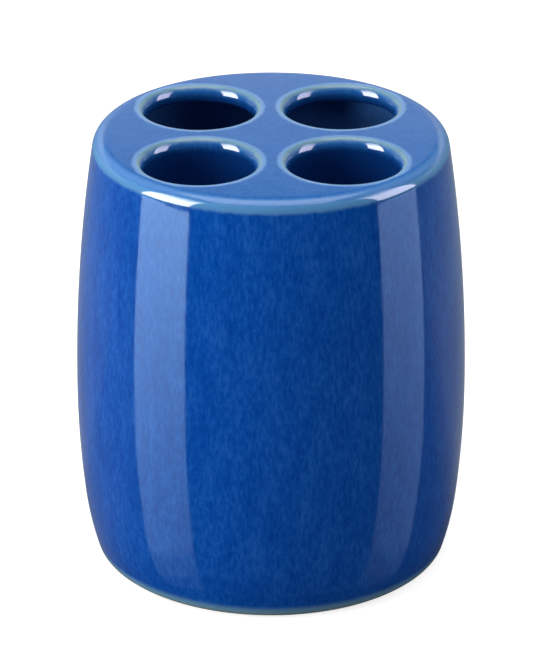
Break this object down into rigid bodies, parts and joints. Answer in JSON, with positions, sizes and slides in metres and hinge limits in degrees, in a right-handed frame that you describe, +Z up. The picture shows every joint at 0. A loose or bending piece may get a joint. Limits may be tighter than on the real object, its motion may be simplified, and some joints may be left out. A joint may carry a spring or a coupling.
{
  "type": "toothbrush holder",
  "caption": "Bowed barrel-shaped glazed stoneware holder with round brush holes in its flat top, a hollow body and a bare foot ring.",
  "frame": {"origin": "centre of the foot, on the surface that the holder stands on", "axes": "+Z up along the barrel's axis, -Y towards the front, +X to the right; the brush holes are aligned with X and Y"},
  "size_m": [0.0965, 0.0964, 0.11],
  "materials": {
    "stoneware": "bare fired stoneware, matt",
    "glaze": "glossy streaked cobalt glaze, paler where it runs thin on edges",
    "inside_glaze": "glossy cobalt glaze"
  },
  "bodies": {
    "root": {"foot_ring": "stoneware", "base_plate": "stoneware", "barrel_wall": "stoneware", "top_plate": "stoneware", "collar_front_left": "stoneware", "collar_front_right": "stoneware", "collar_back_left": "stoneware", "collar_back_right": "stoneware", "outside_glaze": "glaze", "inside_glaze": "inside_glaze", "base_glaze": "glaze"}
  },
  "joints": []
}
